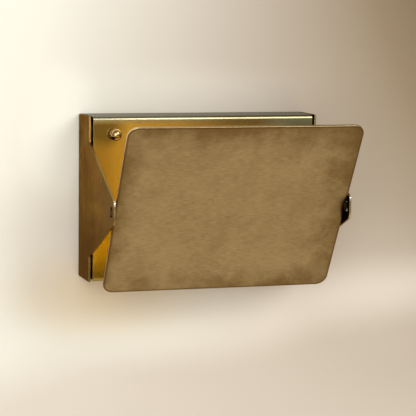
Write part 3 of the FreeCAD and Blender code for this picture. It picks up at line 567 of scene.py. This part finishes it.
flap_brass, tree, out = new_tree("flap_brass")
flap = put_mesh("flap_plate", leaned(np.vstack(parts)), faces, "flap", flap_brass, "flap")
rim_values = flap.data.attributes.new("rim", "FLOAT", "POINT")
rim_values.data.foreach_set("value", np.concatenate(edges).astype(np.float32))
flat_places = flap.data.attributes.new("plate_place", "FLOAT_VECTOR", "POINT")
flat_places.data.foreach_set("vector", np.vstack(flats).astype(np.float32).ravel())

place = add(tree, "Attribute", attribute_name="plate_place").outputs["Vector"]
to_rim = add(tree, "Attribute", attribute_name="rim").outputs["Fac"]
surface = grouped(tree, aged, {"Pattern": place}, Brushing=(13.0, 13.0, 105.0),
                  Bright=(0.362, 0.281, 0.147, 1), Dark=(0.235, 0.162, 0.068, 1),
                  Amount=0.50, Cloud_Size=30.0, Streaks=5.4, Polish=0.21, Spread=0.08)
split = add(tree, "SeparateXYZ", {"Vector": place})
# brown from handling, with a ragged limit, reaching furthest in at the upper right
ragged = add(tree, "TexNoise", {"Vector": place}, Scale=38.0, Detail=5.0, Roughness=0.65).outputs["Fac"]
reach = calc(tree, "MULTIPLY_ADD", ragged, 0.065, to_rim)
reach = calc(tree, "ADD", reach, offset(tree, "DOT_PRODUCT", place, (-0.05, 0.0, -0.06)))
handled = span(tree, reach, 0.024, 0.057, 0.85, 0.0, smooth=True)
colour = mix(tree, handled, surface["Color"], (0.145, 0.088, 0.025))
# a dark line inside the rim, and the rim itself: a painted highlight on the upper edge, brown elsewhere
colour = mix(tree, span(tree, to_rim, 0.0006, 0.0019, 0.85, 0.0), colour, (0.12, 0.060, 0.012))
rim_tone = mix(tree, span(tree, split.outputs["Z"], 0.050, 0.070), (0.20, 0.115, 0.032), (0.66, 0.52, 0.28))
colour = mix(tree, span(tree, to_rim, 0.0001, 0.0004, 0.9, 0.0), colour, rim_tone)
# painted shade: the tongues, set in the wings' slots, are near black
on_tongue = span(tree, calc(tree, "ABSOLUTE", split.outputs["X"]), flap_width / 2, flap_width / 2 + 0.0002)
colour = mix(tree, on_tongue, colour, (0.018, 0.012, 0.007))
behind = span(tree, split.outputs["Y"], 0.0006, 0.0009)
colour = mix(tree, behind, colour, (0.80, 0.57, 0.18))
rough = mix(tree, on_tongue, mix(tree, behind, surface["Roughness"], 0.20), 0.55)
metal_finish(tree, out, colour, rough, surface["Height"], 0.0002, 0.4)

# ---------------------------------------------------------------------------
# Ball nuts. Turned brass balls on short necks, screwed by hand on the cover's
# studs and polished by fingers.
# ---------------------------------------------------------------------------
ball_radius = 0.0045
ball_neck = 0.0031
neck_chamfer = 0.0003
bore_radius = 0.0021
ball_steps = 48
nuts_low, nuts_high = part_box("ball_nuts")


def aged_metal(name, bright, dark, edge, relief=0.0001, edge_strength=0.8, **values):
    """A metal with the aged surface and worn arrises; its pattern follows the object's own place."""
    material, tree, out = new_tree(name)
    place = add(tree, "TexCoord").outputs["Object"]
    surface = grouped(tree, aged, {"Pattern": place}, Bright=(*bright, 1), Dark=(*dark, 1), **values)
    worn = calc(tree, "MULTIPLY", grouped(tree, worn_arris)["Mask"], edge_strength)
    colour = mix(tree, worn, surface["Color"], edge)
    metal_finish(tree, out, colour, surface["Roughness"], surface["Height"], relief, 0.6)
    return material


def turned_about_y(profile, steps):
    """A profile of (radius, y) turned about the Y axis: x is radius times cosine, z radius times sine."""
    radius, depth = np.array(profile).T
    angle = np.linspace(0, 2 * np.pi, steps, endpoint=False)
    points = np.stack((radius[:, None] * np.cos(angle), np.repeat(depth[:, None], steps, 1),
                       radius[:, None] * np.sin(angle)), -1).reshape(-1, 3)
    row, column = np.meshgrid(np.arange(len(radius) - 1), np.arange(steps), indexing="ij")
    after = (column + 1) % steps
    quads = np.stack((row * steps + column, row * steps + after, (row + 1) * steps + after,
                      (row + 1) * steps + column), -1).reshape(-1, 4)
    caps = [list(range(steps))[::-1], list(range(len(points) - steps, len(points)))]
    return points, quads.tolist() + caps


ball_y = nuts_low.y + ball_radius
swing = np.linspace(math.asin(ball_neck / ball_radius), np.pi - 0.02, 30)
profile = [(bore_radius, nuts_high.y), (ball_neck - neck_chamfer, nuts_high.y),
           (ball_neck, nuts_high.y - neck_chamfer)]
profile += [(ball_radius * math.sin(a), ball_y + ball_radius * math.cos(a)) for a in swing]
ball, ball_faces = turned_about_y(profile, ball_steps)
nut_x, nut_z = nuts_high.x - ball_radius, nuts_high.z - ball_radius
nut_places = [(x, 0, z) for x in (-nut_x, nut_x) for z in (-nut_z, nut_z)]
points = np.concatenate([ball + np.array(nut_place) for nut_place in nut_places])
faces = [[i + number * len(ball) for i in face] for number in range(len(nut_places)) for face in ball_faces]
ball_brass = aged_metal("ball_brass", linear(226, 186, 130), linear(120, 80, 40), linear(230, 200, 150),
                        edge_strength=0.3, Amount=0.35, Cloud_Size=180.0, Polish=0.05, Spread=0.12)
put_mesh("ball_nuts_turned", points, faces, "wall_body", ball_brass, "ball_nuts")

# ---------------------------------------------------------------------------
# Studs and bushes. Turned brass studs riveted into the back plate, and rubber
# bushes that line the cable's hole and the leads' hole in the cover.
# ---------------------------------------------------------------------------


def dress(material, *nodes):
    """Puts one finish on nodes that are shown as they are."""
    for name in nodes:
        shown = frame["nodes"][name].data
        shown.materials.clear()
        shown.materials.append(material)


def moulded(name, pale, deep, polish, spread, grain, relief):
    """A moulded or fired material: soft clouds of tone, fine grain in roughness and relief."""
    material, tree, out = new_tree(name)
    place = add(tree, "TexCoord").outputs["Object"]
    cloud = add(tree, "TexNoise", {"Vector": place}, Scale=grain / 8, Detail=3.0).outputs["Fac"]
    fine = add(tree, "TexNoise", {"Vector": place}, Scale=grain, Detail=3.0, Roughness=0.6).outputs["Fac"]
    colour = mix(tree, cloud, pale, deep)
    rough = span(tree, fine, 0.0, 1.0, polish, polish + spread)
    bumped = add(tree, "Bump", {"Height": fine}, Distance=relief, Strength=0.5).outputs["Normal"]
    body = add(tree, "BsdfPrincipled", {"Base Color": colour, "Roughness": rough, "Normal": bumped})
    tree.links.new(body.outputs["BSDF"], out.inputs["Surface"])
    return material


plain_brass = aged_metal("plain_brass", linear(222, 182, 104), linear(150, 104, 48), linear(240, 214, 150),
                         Amount=0.4, Cloud_Size=120.0, Polish=0.2, Spread=0.15)
black_rubber = moulded("black_rubber", linear(36, 35, 34), linear(22, 22, 22), 0.6, 0.25, 1600, 0.00008)
dress(plain_brass, "cover_studs")
dress(black_rubber, "inlet_bush", "lead_bush")

# ---------------------------------------------------------------------------
# Lampholder bracket. A zinc-plated steel strip folded to an L and screwed to
# the cover. A hollow brass nipple with a nut holds the lampholder on it.
# ---------------------------------------------------------------------------
zinc_steel = aged_metal("zinc_steel", linear(196, 197, 196), linear(128, 124, 116), linear(226, 226, 224),
                        Amount=0.5, Cloud_Size=140.0, Polish=0.28, Spread=0.14)
dress(zinc_steel, "lampholder_bracket", "bracket_screws", "bracket_nuts")
dress(plain_brass, "threaded_nipple", "nipple_nut")

# ---------------------------------------------------------------------------
# Lampholder. A dark moulded cap and shell round a white fired insert, with a
# brass thread, a sprung contact and two screw terminals.
# ---------------------------------------------------------------------------
dark_bakelite = moulded("dark_bakelite", linear(46, 30, 22), linear(26, 17, 13), 0.22, 0.16, 900, 0.00005)
white_ceramic = moulded("white_ceramic", linear(236, 232, 222), linear(214, 208, 194),
                        0.45, 0.2, 1400, 0.00005)
dress(dark_bakelite, "holder_cap", "holder_shell")
dress(white_ceramic, "holder_insert")
dress(plain_brass, "thread_sleeve", "centre_contact", "holder_terminals")
dress(zinc_steel, "holder_terminal_screws")

# ---------------------------------------------------------------------------
# Bulb. Clear blown glass with a pressed aluminium screw cap, black glass under
# a blob of solder, and a drawn filament on a glass stem.
# ---------------------------------------------------------------------------
clear_glass, tree, out = new_tree("clear_glass")
place = add(tree, "TexCoord").outputs["Object"]
smear = add(tree, "TexNoise", {"Vector": place}, Scale=60.0, Detail=3.0).outputs["Fac"]
rough = span(tree, smear, 0.4, 0.8, 0.0, 0.06)
glass = add(tree, "BsdfPrincipled", {"Roughness": rough}, Base_Color=(0.98, 0.99, 0.98, 1),
            Transmission_Weight=1.0, IOR=1.5)
tree.links.new(glass.outputs["BSDF"], out.inputs["Surface"])
cap_aluminium = aged_metal("cap_aluminium", linear(214, 214, 212), linear(150, 146, 140),
                           linear(232, 232, 230), Amount=0.4, Cloud_Size=160.0, Polish=0.22, Spread=0.15)
solder = aged_metal("solder", linear(178, 178, 176), linear(112, 110, 106), linear(200, 200, 200),
                    Amount=0.6, Cloud_Size=300.0, Polish=0.38, Spread=0.15)
tungsten = aged_metal("tungsten", linear(120, 118, 114), linear(70, 68, 66), linear(150, 150, 148),
                      relief=0.00002, Amount=0.5, Cloud_Size=400.0, Polish=0.35, Spread=0.1)
black_glass = moulded("black_glass", linear(24, 24, 28), linear(14, 14, 17), 0.08, 0.08, 800, 0.00002)
dress(clear_glass, "bulb_glass", "bulb_stem")
dress(cap_aluminium, "bulb_cap")
dress(solder, "bulb_tip")
dress(tungsten, "filament")
dress(black_glass, "bulb_insulator")

# ---------------------------------------------------------------------------
# Terminal block and earth terminal. A white moulded block of three poles, one
# screw through its middle, and beside it a riveted stud with lug and nut.
# ---------------------------------------------------------------------------
white_plastic = moulded("white_plastic", linear(230, 227, 216), linear(212, 206, 190),
                        0.35, 0.2, 1200, 0.00005)
dress(white_plastic, "terminal_block")
dress(plain_brass, "terminal_tubes")
dress(zinc_steel, "terminal_screws", "block_screw", "earth_stud", "earth_lug", "earth_washer", "earth_nut")

# ---------------------------------------------------------------------------
# Leads. Insulated wires: brown and blue from the block to the lampholder, and
# a short green and yellow one from the block to the earth stud.
# ---------------------------------------------------------------------------
brown_insulation = moulded("brown_insulation", linear(112, 68, 42), linear(88, 50, 30),
                           0.35, 0.2, 1500, 0.00004)
blue_insulation = moulded("blue_insulation", linear(54, 100, 168), linear(38, 78, 140),
                          0.35, 0.2, 1500, 0.00004)
green_insulation, tree, out = new_tree("green_insulation")
place = add(tree, "TexCoord").outputs["Object"]
stripe = add(tree, "TexWave", {"Vector": place}, wave_type="BANDS", bands_direction="Y", Scale=110.0,
             Distortion=1.2, Detail=1.0).outputs["Fac"]
tint = ramp(tree, stripe, [(0.46, linear(70, 132, 42)), (0.54, linear(222, 200, 52))])
sheath = add(tree, "BsdfPrincipled", {"Base Color": tint}, Roughness=0.42)
tree.links.new(sheath.outputs["BSDF"], out.inputs["Surface"])
dress(brown_insulation, "live_lead")
dress(blue_insulation, "neutral_lead")
dress(green_insulation, "earth_lead")
